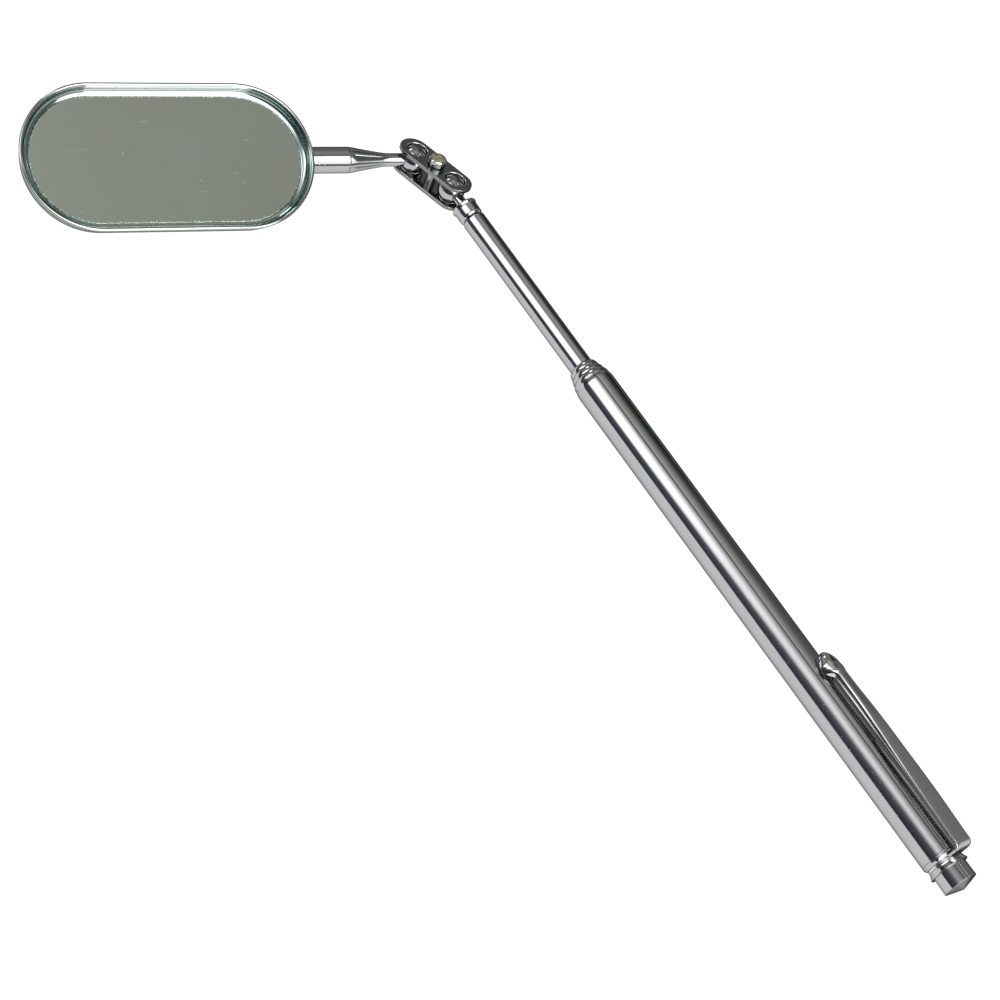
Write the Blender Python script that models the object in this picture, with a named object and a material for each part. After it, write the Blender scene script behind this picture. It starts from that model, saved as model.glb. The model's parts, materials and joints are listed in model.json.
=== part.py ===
"""Telescoping inspection mirror with a pocket clip, lying on a flat surface.

Every sub-part is one object in the local frame of the body that carries it. Each
body hangs from an empty on its joint, so the empties are the mechanism: a handle,
three telescoping sections, a spinning stud, two balls clamped by a pair of plates,
and the mirror head. In the handle's frame the axis is X, the nose face is at x = 0
and the end cap is towards +X.
"""
import math

import bmesh
import bpy
from mathutils import Matrix

MM = 0.001
SEGMENTS = 32                    # sides of a round piece
FIT = 0.05 * MM                  # gap between two pieces that touch
SEAM = 0.2 * MM                  # gap at a brazed or bent seam

# mirror head: the outline is a straight-sided oval
HEAD_LENGTH = 50.8 * MM
HEAD_WIDTH = 25.9 * MM
HEAD_DEPTH = 4.4 * MM
SHEET = 0.45 * MM                # thickness of the drawn steel dish
LIP_RADIUS = 0.32 * MM           # rolled lip round the dish
WALL_INSET = 0.35 * MM           # the wall stands in from the lip by this
WALL_STRAIGHT = 2.0 * MM         # depth at which the wall turns into the corner
CORNER_RADIUS = 2.4 * MM
GLASS_INSET = 1.85 * MM
GLASS_BEVEL = 0.32 * MM
GLASS_RECESS = 1.7 * MM          # lip down to the glass
GLASS_THICKNESS = 1.6 * MM
PAD_INSET = 3.0 * MM
OVAL_STEPS = 14                  # steps round each half circle of the oval

# stem between the mirror head and its ball; x counts from the ball's centre
STEM_DROP = 2.6 * MM             # lip plane down to the stem's axis
STEM_REACH = 19.06 * MM          # ball centre to the lip
BARREL_RADIUS = 2.28 * MM
BARREL_START = 12.3 * MM
TAPER_END = 5.6 * MM
STEM_NECK_RADIUS = 1.15 * MM

# double ball link
BALL_RADIUS = 2.38 * MM
BALL_SPACING = 9.0 * MM
PLATE_HALF_WIDTH = 2.65 * MM
PLATE_OVERHANG = 0.5 * MM        # end arc's centre past the ball's centre
PLATE_INNER = 1.65 * MM          # middle plane to a plate's inner face
PLATE_THICKNESS = 0.65 * MM
PLATE_HOLE = 1.78 * MM
PLATE_COUNTERSINK = 0.2 * MM
SCREW_RADIUS = 0.95 * MM
SCREW_HEAD_RADIUS = 1.5 * MM
SCREW_HEAD_HEIGHT = 0.9 * MM
NUT_RADIUS = 1.52 * MM
NUT_HEIGHT = 1.4 * MM

# collar on the end of the innermost section; x counts from the rod ball's centre
ROD_NECK_RADIUS = 1.0 * MM
COLLAR_FRONT = 3.88 * MM
COLLAR_BACK = 6.88 * MM
COLLAR_RADIUS = 2.13 * MM
COLLAR_FLANGE = 2.3 * MM
ROD_SOCKET = 1.9 * MM            # depth of the bore that takes the rod

# telescoping sections in the handle's frame
BALL_X = -40.23 * MM             # rod ball's centre
OUTER_FRONT = -33.2 * MM
OUTER_BACK = 60.0 * MM
OUTER_RADIUS = 2.05 * MM
OUTER_BORE = 1.75 * MM
MIDDLE_FRONT = -33.15 * MM
MIDDLE_BACK = 54.5 * MM
MIDDLE_RADIUS = 1.6 * MM
MIDDLE_BORE = 1.35 * MM
INNER_FRONT = BALL_X + COLLAR_BACK - ROD_SOCKET + FIT
INNER_BACK = 50.0 * MM
INNER_RADIUS = 1.2 * MM
TIP_GUIDE = 0.08 * MM            # running clearance inside a rolled-in tip
TIP_LENGTH = 0.6 * MM
RING_LENGTH = 3.0 * MM           # friction rings
RING_CLEARANCE = 0.05 * MM
RING_SLOT = math.radians(16)

# handle
HANDLE_RADIUS = 3.45 * MM
HANDLE_BORE = 3.05 * MM
HANDLE_END = 100.5 * MM
NOSE_BORE = 2.15 * MM
BEAD_PITCH = 1.05 * MM
BEAD_COUNT = 3
BEAD_HEIGHT = 0.15 * MM
NOSE_LENGTH = 4.4 * MM
BUSH_START = 4.9 * MM
BUSH_LENGTH = 4.2 * MM
BASE_BUSH_LENGTH = 5.0 * MM
END_BUSH_RIM = 0.8 * MM
END_BUSH_DEPTH = 6.0 * MM
END_BUSH_BORE = 1.95 * MM
CAP_SHANK = 1.85 * MM
CAP_FLANGE = 1.05 * MM
CAP_KNOB_RADIUS = 2.95 * MM
CAP_KNOB_LENGTH = 2.9 * MM
CAP_CONE = 0.85 * MM

# pocket clip, bent from one strip; heights are radii from the handle's axis
CLIP_ANGLE = math.radians(63)    # round the handle, from +Y towards +Z
CLIP_SHEET = 0.4 * MM
CLIP_HALF_WIDTH = 2.35 * MM
CLIP_ROOT = 100.0 * MM
CLIP_ROOT_HEIGHT = 5.14 * MM
CLIP_BEND = 0.9 * MM
CLIP_TIP = 63.7 * MM

# rest pose
REST_PITCH = math.radians(0.267)     # nose raised
REST_SPIN = math.radians(-10.8)
REST_ROD_TILT = math.radians(-10.0)
REST_ROD_SWING = math.radians(10.1)
REST_MIRROR_SWING = math.radians(59.6)
REST_MIRROR_TILT = math.radians(-3.2)
REST_MIRROR_ROLL = math.radians(30.5)


def clear_scene():
    for obj in list(bpy.data.objects):
        bpy.data.objects.remove(obj, do_unlink=True)


def make_material(name, color, roughness, metallic):
    material = bpy.data.materials.new(name)
    material.use_nodes = True
    shader = material.node_tree.nodes["Principled BSDF"]
    shader.inputs["Base Color"].default_value = (*color, 1.0)
    shader.inputs["Roughness"].default_value = roughness
    shader.inputs["Metallic"].default_value = metallic
    return material


def make_empty(name, parent=None, location=(0, 0, 0), rotation=None):
    empty = bpy.data.objects.new(name, None)
    empty.empty_display_size = 5 * MM
    bpy.context.scene.collection.objects.link(empty)
    empty.parent = parent
    empty.matrix_local = Matrix.Translation(location) @ (rotation or Matrix())
    return empty


def make_object(name, mesh_data, parent, material, location=(0, 0, 0), sharp=35):
    """Turn a bmesh into a named object whose origin is its parent's joint."""
    bmesh.ops.remove_doubles(mesh_data, verts=mesh_data.verts, dist=1e-7)
    bmesh.ops.recalc_face_normals(mesh_data, faces=mesh_data.faces)
    mesh = bpy.data.meshes.new(name)
    mesh_data.to_mesh(mesh)
    mesh_data.free()
    mesh.shade_smooth()
    mesh.set_sharp_from_angle(angle=math.radians(sharp))
    mesh.materials.append(material)
    obj = bpy.data.objects.new(name, mesh)
    bpy.context.scene.collection.objects.link(obj)
    obj.parent = parent
    obj.location = location
    return obj


def add_boolean(target, cutter, operation="DIFFERENCE"):
    cutter.hide_render = True
    cutter.display_type = "WIRE"
    modifier = target.modifiers.new(operation.lower(), "BOOLEAN")
    modifier.operation = operation
    modifier.solver = "EXACT"
    modifier.object = cutter


# ---------------------------------------------------------------- shape helpers

def close_loops(mesh_data, rings, closed_profile):
    """Join rings of vertices with quads; a ring of one vertex is a pole."""
    pairs = list(zip(rings, rings[1:]))
    if closed_profile:
        pairs.append((rings[-1], rings[0]))
    for first, second in pairs:
        count = max(len(first), len(second))
        for i in range(count):
            j = (i + 1) % count
            corners = [first[i % len(first)], first[j % len(first)],
                       second[j % len(second)], second[i % len(second)]]
            unique = list(dict.fromkeys(corners))
            if len(unique) > 2:
                mesh_data.faces.new(unique)


def lathe_x(profile, closed=False, segments=SEGMENTS):
    """Turn (x, radius) points round X. Points with radius 0 become poles."""
    mesh_data = bmesh.new()
    rings = []
    for x, radius in profile:
        if radius < 1e-9:
            rings.append([mesh_data.verts.new((x, 0, 0))])
            continue
        angles = [2 * math.pi * i / segments for i in range(segments)]
        rings.append([mesh_data.verts.new((x, radius * math.cos(a), radius * math.sin(a)))
                      for a in angles])
    close_loops(mesh_data, rings, closed)
    return mesh_data


def arc(center, radius, start, end, steps):
    """Points on a circle in a profile plane, angles in degrees."""
    points = []
    for i in range(steps + 1):
        a = math.radians(start + (end - start) * i / steps)
        points.append((center[0] + radius * math.cos(a), center[1] + radius * math.sin(a)))
    return points


def tube_profile(front, back, outer, bore, front_guide=None):
    """Closed profile of a tube; the front may be rolled in to front_guide."""
    rounding = 0.25 * MM
    profile = arc((front + rounding, outer - rounding), rounding, 180, 90, 4)
    profile += [(back, outer), (back, bore)]
    if front_guide is not None:
        profile += [(front + 2 * TIP_LENGTH, bore), (front + TIP_LENGTH, front_guide),
                    (front, front_guide)]
    else:
        profile.append((front, bore))
    return profile


def slotted_ring(length, outer, inner, steps=24):
    """A friction ring: a sleeve with a lengthwise slot."""
    mesh_data = bmesh.new()
    rings = []
    for x, radius in ((0, outer), (length, outer), (length, inner), (0, inner)):
        ring = []
        for i in range(steps + 1):
            a = RING_SLOT / 2 + (2 * math.pi - RING_SLOT) * i / steps
            ring.append(mesh_data.verts.new((x, radius * math.cos(a), radius * math.sin(a))))
        rings.append(ring)
    for first, second in zip(rings, rings[1:] + rings[:1]):
        for i in range(steps):
            mesh_data.faces.new((first[i], first[i + 1], second[i + 1], second[i]))
    mesh_data.faces.new([ring[0] for ring in rings])
    mesh_data.faces.new([ring[-1] for ring in reversed(rings)])
    return mesh_data


def oval_ring(mesh_data, half_length, half_width, center_x, z, steps=OVAL_STEPS):
    """Vertices round a straight-sided oval whose long axis is X."""
    straight = half_length - half_width
    ring = []
    for side, start in ((1, -90), (-1, 90)):
        for i in range(steps + 1):
            a = math.radians(start + 180 * i / steps)
            x = center_x + side * straight + half_width * math.cos(a)
            ring.append(mesh_data.verts.new((x, half_width * math.sin(a), z)))
    return ring


def oval_solid(profile, half_length, half_width, center_x=0.0, closed=False):
    """Sweep (inset, z) points round the oval; open profiles get flat end faces."""
    mesh_data = bmesh.new()
    rings = [oval_ring(mesh_data, half_length - inset, half_width - inset, center_x, z)
             for inset, z in profile]
    close_loops(mesh_data, rings, closed)
    if not closed:
        mesh_data.faces.new(list(reversed(rings[0])))
        mesh_data.faces.new(rings[-1])
    return mesh_data


# ---------------------------------------------------------------- mirror head

def head_center_x():
    return -(STEM_REACH + HEAD_LENGTH / 2)


def dish_profiles():
    """Outer and inner (inset, z) lines of the dish, from the lip to its floor."""
    top = STEM_DROP
    lip = arc((LIP_RADIUS, top - LIP_RADIUS), LIP_RADIUS, 90, 250, 5)
    center = WALL_INSET + 0.1 * MM + CORNER_RADIUS
    corner = (center, top - WALL_STRAIGHT)
    outer = lip + [(WALL_INSET, top - 3 * LIP_RADIUS)]
    outer += arc(corner, CORNER_RADIUS, 180, 270, 5)
    inner = [(2 * LIP_RADIUS, top - LIP_RADIUS), (WALL_INSET + SHEET, top - 3 * LIP_RADIUS)]
    inner += arc(corner, CORNER_RADIUS - SHEET, 180, 270, 5)
    return outer, inner


def build_mirror_head(parent, steel, glass, pad):
    outer, inner = dish_profiles()
    half = (HEAD_LENGTH / 2, HEAD_WIDTH / 2)
    frame = oval_solid(list(reversed(inner)) + outer, *half, head_center_x())
    make_object("mirror_frame", frame, parent, steel)

    top = STEM_DROP - GLASS_RECESS
    bottom = top - GLASS_THICKNESS
    glass_profile = [(GLASS_INSET + GLASS_BEVEL, top), (GLASS_INSET, top - GLASS_BEVEL),
                     (GLASS_INSET, bottom)]
    pane = oval_solid(glass_profile, *half, head_center_x())
    make_object("mirror_glass", pane, parent, glass)

    floor = STEM_DROP - HEAD_DEPTH + SHEET
    pad_profile = [(PAD_INSET, bottom - FIT), (PAD_INSET, floor + FIT)]
    make_object("backing_pad", oval_solid(pad_profile, *half, head_center_x()), parent, pad)

    barrel = [(-BARREL_START, 0), (-BARREL_START, BARREL_RADIUS - SEAM),
              (-BARREL_START - SEAM, BARREL_RADIUS),
              (-STEM_REACH - CORNER_RADIUS, BARREL_RADIUS), (-STEM_REACH - CORNER_RADIUS, 0)]
    barrel_obj = make_object("stem_barrel", lathe_x(barrel), parent, steel)
    grown = [(inset - SEAM, z) for inset, z in outer if z > STEM_DROP - HEAD_DEPTH + 1e-9]
    grown.append((grown[-1][0] + SEAM, STEM_DROP - HEAD_DEPTH - SEAM))
    grown = [(grown[0][0], STEM_DROP + BARREL_RADIUS)] + grown
    cutter = make_object("dish_cutter", oval_solid(grown, *half, head_center_x()), parent, steel)
    add_boolean(barrel_obj, cutter)


def build_mirror_stem(parent, steel):
    """The turned stud between the barrel and the ball, hollowed to clear the ball."""
    seat = BALL_RADIUS + FIT
    cup = [(-math.sqrt(seat ** 2 - (STEM_NECK_RADIUS * k / 4) ** 2), STEM_NECK_RADIUS * k / 4)
           for k in range(5)]
    profile = cup + [(-TAPER_END + 0.8 * MM, STEM_NECK_RADIUS), (-TAPER_END, STEM_NECK_RADIUS + 0.1 * MM),
                     (-BARREL_START + 0.9 * MM, BARREL_RADIUS - 0.15 * MM),
                     (-BARREL_START + SEAM + FIT, BARREL_RADIUS - 0.03 * MM),
                     (-BARREL_START + FIT, BARREL_RADIUS - SEAM), (-BARREL_START + FIT, 0)]
    make_object("mirror_stem", lathe_x(profile), parent, steel)


# ---------------------------------------------------------------- ball link

def build_ball(name, parent, steel):
    profile = arc((0, 0), BALL_RADIUS, 180, 0, 12)
    make_object(name, lathe_x(profile, segments=24), parent, steel, sharp=80)


def link_outline(steps=12):
    """Oval outline of a clamp plate, in the link's frame."""
    points = []
    ends = ((PLATE_OVERHANG, -90), (-BALL_SPACING - PLATE_OVERHANG, 90))
    for center, start in ends:
        for x, y in arc((center, 0), PLATE_HALF_WIDTH, start, start + 180, steps):
            points.append((x, y))
    return points


def build_plate(name, parent, steel, side):
    """A clamp plate; side is +1 for the front plate and -1 for the rear one."""
    mesh_data = bmesh.new()
    edge = 0.1 * MM
    outer = PLATE_INNER + PLATE_THICKNESS
    levels = ((PLATE_INNER, 0.0), (outer - edge, 0.0), (outer, edge))
    middle = -BALL_SPACING / 2
    rings = []
    for z, inset in levels:
        scale = 1 - inset / PLATE_HALF_WIDTH
        rings.append([mesh_data.verts.new((middle + (x - middle) * (1 - inset / (7.65 * MM)),
                                           y * scale, side * z)) for x, y in link_outline()])
    close_loops(mesh_data, rings, False)
    mesh_data.faces.new(rings[0])
    mesh_data.faces.new(list(reversed(rings[-1])))
    plate = make_object(name, mesh_data, parent, steel)
    deep = outer + 1 * MM
    sink = PLATE_COUNTERSINK
    for index, x in enumerate((0.0, -BALL_SPACING)):
        profile = [(PLATE_INNER - 1 * MM, PLATE_HOLE), (outer - sink, PLATE_HOLE),
                   (deep, PLATE_HOLE + sink + 1 * MM)]
        add_boolean(plate, make_cutter(f"{name}_hole_{index}", profile, parent, x, side))
    shank = [(PLATE_INNER - 1 * MM, SCREW_RADIUS + FIT), (deep, SCREW_RADIUS + FIT)]
    add_boolean(plate, make_cutter(f"{name}_screw_hole", shank, parent, middle, side))
    return plate


def make_cutter(name, profile, parent, x, side):
    """A round cutter along the link's Z, from (height, radius) points."""
    points = [(profile[0][0], 0)] + profile + [(profile[-1][0], 0)]
    cutter_mesh = lathe_x(points, segments=32)
    turn = Matrix.Rotation(-math.pi / 2 * side, 4, "Y")
    cutter_mesh.transform(turn)
    return make_object(name, cutter_mesh, parent, None, location=(x, 0, 0))


def build_clamp(parent, steel, brass):
    """The screw through the plates, head at the rear, and its round nut in front."""
    middle = -BALL_SPACING / 2
    upright = Matrix.Rotation(-math.pi / 2, 4, "Y")
    outer = PLATE_INNER + PLATE_THICKNESS + FIT
    chamfer = 0.15 * MM
    head_top = -outer - SCREW_HEAD_HEIGHT
    end = outer + NUT_HEIGHT + 0.05 * MM
    screw = [(head_top, 0), (head_top, SCREW_HEAD_RADIUS - chamfer),
             (head_top + chamfer, SCREW_HEAD_RADIUS), (-outer, SCREW_HEAD_RADIUS),
             (-outer, SCREW_RADIUS), (end - chamfer, SCREW_RADIUS),
             (end, SCREW_RADIUS - chamfer), (end, 0)]
    screw_mesh = lathe_x(screw, segments=28)
    screw_mesh.transform(upright)
    screw_obj = make_object("clamp_screw", screw_mesh, parent, brass, location=(middle, 0, 0))
    slot_mesh = bmesh.new()
    size = (0.45 * MM, 4 * MM, 0.8 * MM)
    bmesh.ops.create_cube(slot_mesh, size=1.0, matrix=Matrix.Diagonal((*size, 1)))
    slot = make_object("screw_slot_cutter", slot_mesh, parent, brass,
                       location=(middle, 0, head_top))
    add_boolean(screw_obj, slot)

    bore = SCREW_RADIUS + FIT
    top = outer + NUT_HEIGHT
    nut = [(outer, bore), (outer, NUT_RADIUS), (top - chamfer, NUT_RADIUS),
           (top, NUT_RADIUS - chamfer), (top, bore)]
    nut_mesh = lathe_x(nut, closed=True, segments=28)
    nut_mesh.transform(upright)
    make_object("clamp_nut", nut_mesh, parent, steel, location=(middle, 0, 0))


def build_rod_stud(parent, steel):
    """Neck and flanged collar on the end of the innermost section."""
    seat = BALL_RADIUS + FIT
    cup = [(math.sqrt(seat ** 2 - (ROD_NECK_RADIUS * k / 4) ** 2), ROD_NECK_RADIUS * k / 4)
           for k in range(5)]
    bore = INNER_RADIUS + FIT
    lip = 0.35 * MM
    profile = cup + [(COLLAR_FRONT - 0.25 * MM, ROD_NECK_RADIUS),
                     (COLLAR_FRONT, ROD_NECK_RADIUS + 0.3 * MM),
                     (COLLAR_FRONT, COLLAR_FLANGE - 0.2 * MM)]
    profile += arc((COLLAR_FRONT + lip, COLLAR_FLANGE - lip / 2), lip / 2, 120, 30, 3)
    profile += [(COLLAR_FRONT + 2 * lip, COLLAR_RADIUS)]
    profile += arc((COLLAR_BACK - lip, COLLAR_RADIUS - lip), lip, 90, 0, 4)
    profile += [(COLLAR_BACK, bore), (COLLAR_BACK - ROD_SOCKET, bore), (COLLAR_BACK - ROD_SOCKET, 0)]
    make_object("rod_stud", lathe_x(profile), parent, steel)


# ---------------------------------------------------------------- telescope

def build_outer_section(parent, chrome, brass):
    guide = MIDDLE_RADIUS + TIP_GUIDE
    profile = tube_profile(0, OUTER_BACK - OUTER_FRONT, OUTER_RADIUS, OUTER_BORE, guide)
    make_object("outer_tube", lathe_x(profile, closed=True), parent, chrome)

    back = OUTER_BACK - OUTER_FRONT - 0.5 * MM
    front = back - BASE_BUSH_LENGTH
    outer = HANDLE_BORE - 2 * RING_CLEARANCE
    groove = outer - 0.35 * MM
    land = (BASE_BUSH_LENGTH - RING_LENGTH) / 2
    bore = OUTER_RADIUS + FIT
    bush = [(front, bore), (front, outer), (front + land, outer), (front + land, groove),
            (back - land, groove), (back - land, outer), (back, outer), (back, bore)]
    make_object("outer_base_bush", lathe_x(bush, closed=True), parent, brass)
    ring = slotted_ring(RING_LENGTH - 2 * FIT, HANDLE_BORE - RING_CLEARANCE, groove + FIT)
    make_object("outer_friction_ring", ring, parent, brass, (front + land + FIT, 0, 0))


def build_middle_section(parent, chrome, brass):
    length = MIDDLE_BACK - MIDDLE_FRONT
    guide = INNER_RADIUS + TIP_GUIDE
    neck = 0.12 * MM                 # the tube is necked in under its friction ring
    start = length - RING_LENGTH - 0.6 * MM
    end = length - 0.6 * MM
    ramp = 0.15 * MM
    profile = tube_profile(0, length, MIDDLE_RADIUS, MIDDLE_BORE, guide)
    outer_end = next(i for i, p in enumerate(profile) if p == (length, MIDDLE_RADIUS))
    necked = [(start - ramp, 0), (start, neck), (end, neck), (end + ramp, 0)]
    outside = [(x, MIDDLE_RADIUS - depth) for x, depth in necked]
    inside = [(x, MIDDLE_BORE - depth) for x, depth in reversed(necked)]
    profile[outer_end:outer_end + 2] = outside + profile[outer_end:outer_end + 2] + inside
    make_object("middle_tube", lathe_x(profile, closed=True), parent, chrome)
    ring = slotted_ring(RING_LENGTH - 2 * FIT, OUTER_BORE - RING_CLEARANCE,
                        MIDDLE_RADIUS - neck + FIT)
    make_object("middle_friction_ring", ring, parent, brass, (start + FIT, 0, 0))


def build_inner_section(parent, chrome, brass):
    length = INNER_BACK - INNER_FRONT
    groove = INNER_RADIUS - 0.2 * MM
    start = length - RING_LENGTH - 1.0 * MM
    end = length - 1.0 * MM
    chamfer = 0.15 * MM
    profile = [(0, 0), (0, INNER_RADIUS - chamfer), (chamfer, INNER_RADIUS),
               (start, INNER_RADIUS), (start, groove), (end, groove), (end, INNER_RADIUS),
               (length, INNER_RADIUS), (length, 0)]
    make_object("inner_rod", lathe_x(profile), parent, chrome)
    ring = slotted_ring(RING_LENGTH - 2 * FIT, MIDDLE_BORE - RING_CLEARANCE, groove + FIT)
    make_object("inner_friction_ring", ring, parent, brass, (start + FIT, 0, 0))


# ---------------------------------------------------------------- handle

def nose_profile():
    """Outside of the nose: rolled beads on a cone, then a shoulder."""
    slope = (3.08 - 2.45) / (2 * 1.05)
    points = [(0, NOSE_BORE + 0.12 * MM)]
    steps = 4
    for bead in range(BEAD_COUNT):
        start = 0.12 * MM + bead * BEAD_PITCH
        for i in range(steps + (bead == BEAD_COUNT - 1)):
            x = start + BEAD_PITCH * i / steps
            wave = math.sin(math.pi * i / steps)
            points.append((x, 2.2 * MM + slope * x + (BEAD_HEIGHT + 0.06 * MM) * wave))
    shoulder = points[-1]
    for i in range(1, 5):
        t = i / 4
        x = shoulder[0] + (NOSE_LENGTH - shoulder[0]) * t
        rise = math.sin(t * math.pi / 2)
        points.append((x, shoulder[1] + (HANDLE_RADIUS - shoulder[1]) * rise))
    return points


def build_handle(parent, chrome, brass):
    outside = nose_profile()
    inside = [(HANDLE_END, HANDLE_BORE), (NOSE_LENGTH + 0.2 * MM, HANDLE_BORE),
              (3.2 * MM, 2.6 * MM), (1.6 * MM, NOSE_BORE), (0, NOSE_BORE)]
    tube = outside + [(HANDLE_END, HANDLE_RADIUS)] + inside
    make_object("handle_tube", lathe_x(tube, closed=True), parent, chrome)

    bush_end = BUSH_START + BUSH_LENGTH
    bush = [(BUSH_START, OUTER_RADIUS + TIP_GUIDE), (BUSH_START, HANDLE_BORE - FIT),
            (bush_end, HANDLE_BORE - FIT), (bush_end, OUTER_RADIUS + TIP_GUIDE)]
    make_object("nose_bush", lathe_x(bush, closed=True), parent, brass)

    rim_start = HANDLE_END + FIT
    rim_end = rim_start + END_BUSH_RIM
    chamfer = 0.37 * MM
    end_bush = [(HANDLE_END - END_BUSH_DEPTH, END_BUSH_BORE),
                (HANDLE_END - END_BUSH_DEPTH, HANDLE_BORE - FIT), (rim_start, HANDLE_BORE - FIT),
                (rim_start, HANDLE_RADIUS), (rim_end - 0.5 * MM, HANDLE_RADIUS),
                (rim_end, HANDLE_RADIUS - chamfer), (rim_end, END_BUSH_BORE)]
    make_object("end_bush", lathe_x(end_bush, closed=True), parent, chrome)

    flange = rim_end + CLIP_SHEET + 2 * FIT
    knob = flange + CAP_FLANGE
    end = knob + CAP_KNOB_LENGTH
    cap = [(HANDLE_END - END_BUSH_DEPTH + 1 * MM, 0), (HANDLE_END - END_BUSH_DEPTH + 1 * MM, CAP_SHANK),
           (flange, CAP_SHANK), (flange, 3.1 * MM), (flange + 0.35 * MM, 3.16 * MM),
           (knob - 0.15 * MM, HANDLE_RADIUS - 0.02 * MM), (knob, HANDLE_RADIUS - 0.05 * MM),
           (knob, CAP_KNOB_RADIUS - 0.08 * MM), (knob + 0.15 * MM, CAP_KNOB_RADIUS),
           (end - 0.08 * MM, CAP_KNOB_RADIUS), (end, CAP_KNOB_RADIUS - 0.08 * MM),
           (end + CAP_CONE, 0.2 * MM), (end + CAP_CONE, 0)]
    make_object("end_cap", lathe_x(cap), parent, chrome)


# ---------------------------------------------------------------- pocket clip

def smooth(t):
    t = min(max(t, 0.0), 1.0)
    return t * t * (3 - 2 * t)


def blend_keys(x, keys):
    """Smooth interpolation through (x, value) keys in rising x."""
    if x <= keys[0][0]:
        return keys[0][1]
    for (x0, v0), (x1, v1) in zip(keys, keys[1:]):
        if x <= x1:
            return v0 + (v1 - v0) * smooth((x - x0) / (x1 - x0))
    return keys[-1][1]


def clip_section(x):
    """Top height, rim height, half width and squareness of the clip at x (mm)."""
    top = blend_keys(x, ((63.7, 4.95), (64.6, 5.55), (66.2, 5.8), (69.0, 5.74), (76.0, 5.86),
                         (86.0, 5.62), (100.0, 5.14)))
    drop = blend_keys(x, ((63.7, 0.45), (64.6, 1.35), (66.2, 1.85), (68.8, 1.2), (80.0, 0.9),
                          (92.0, 0.42), (100.0, 0.42)))
    half = blend_keys(x, ((63.7, 0.55), (64.6, 1.5), (66.2, 2.2), (68.9, 1.25), (80.0, 1.75),
                          (95.0, 2.35), (100.0, 2.35)))
    square = blend_keys(x, ((66.2, 2.2), (69.0, 5.0), (100.0, 7.0)))
    return top * MM, drop * MM, half * MM, square


def clip_ring(mesh_data, x, origin, steps=12):
    """One closed section: the outside from rim to rim, then the inside back."""
    top, drop, half, square = clip_section(x / MM)
    outside = []
    inside = []
    for i in range(steps + 1):
        a = math.pi * i / steps
        across = math.copysign(abs(math.cos(a)) ** (2 / square), math.cos(a))
        up = abs(math.sin(a)) ** (2 / square)
        outside.append((half * across, top - drop + drop * up))
        inner_half = half - CLIP_SHEET
        inner_drop = drop - CLIP_SHEET
        inside.append((inner_half * across, top - drop + inner_drop * up))
    points = outside + list(reversed(inside))
    return [mesh_data.verts.new((x - origin[0], y, z - origin[1])) for y, z in points]


def build_clip_arm(parent, chrome, origin):
    stations = [63.7, 64.1, 64.6, 65.3, 66.2, 67.1, 68.0, 68.9, 70.5, 73.0, 76.0, 80.0, 84.0,
                88.0, 92.0, 96.0, 100.0]
    mesh_data = bmesh.new()
    rings = [clip_ring(mesh_data, x * MM, origin) for x in stations]
    close_loops(mesh_data, rings, False)
    for ring, flip in ((rings[0], False), (rings[-1], True)):
        half = len(ring) // 2
        for i in range(half - 1):
            quad = [ring[i], ring[i + 1], ring[-2 - i], ring[-1 - i]]
            mesh_data.faces.new(list(reversed(quad)) if flip else quad)
    make_object("clip_arm", mesh_data, parent, chrome)


def build_clip_eyelet(parent, chrome):
    """Washer clamped under the end cap, with the riser and bend that carry the arm."""
    start = HANDLE_END + 2 * FIT + END_BUSH_RIM
    end = start + CLIP_SHEET
    washer = [(start, END_BUSH_BORE), (start, 3.05 * MM), (end, 3.05 * MM), (end, END_BUSH_BORE)]
    eyelet = make_object("clip_eyelet", lathe_x(washer, closed=True), parent, chrome)

    top = CLIP_ROOT_HEIGHT
    corner = (end - CLIP_BEND, top - CLIP_BEND)
    outside = [(end, 2.4 * MM)] + arc(corner, CLIP_BEND, 0, 90, 5)
    outside.append((CLIP_ROOT + SEAM, top))
    inside = [(CLIP_ROOT + SEAM, top - CLIP_SHEET)]
    inside += arc(corner, CLIP_BEND - CLIP_SHEET, 90, 0, 5) + [(start, 2.4 * MM)]
    mesh_data = bmesh.new()
    rings = []
    for y in (-CLIP_HALF_WIDTH, CLIP_HALF_WIDTH):
        rings.append([mesh_data.verts.new((x, y, z)) for x, z in outside + inside])
    mesh_data.faces.new(rings[0])
    mesh_data.faces.new(list(reversed(rings[1])))
    count = len(rings[0])
    for i in range(count):
        j = (i + 1) % count
        mesh_data.faces.new((rings[0][i], rings[1][i], rings[1][j], rings[0][j]))
    riser = make_object("clip_riser_tool", mesh_data, parent, chrome)
    add_boolean(eyelet, riser, "UNION")


# ---------------------------------------------------------------- assembly

def set_down(root):
    """Shift the whole object so that it stands on Z = 0, centred on the origin."""
    bpy.context.view_layer.update()
    points = [obj.matrix_world @ vertex.co for obj in bpy.data.objects
              if obj.type == "MESH" and not obj.hide_render for vertex in obj.data.vertices]
    low = [min(point[i] for point in points) for i in range(3)]
    high = [max(point[i] for point in points) for i in range(3)]
    root.location = (-(low[0] + high[0]) / 2, -(low[1] + high[1]) / 2, -low[2])


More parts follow.
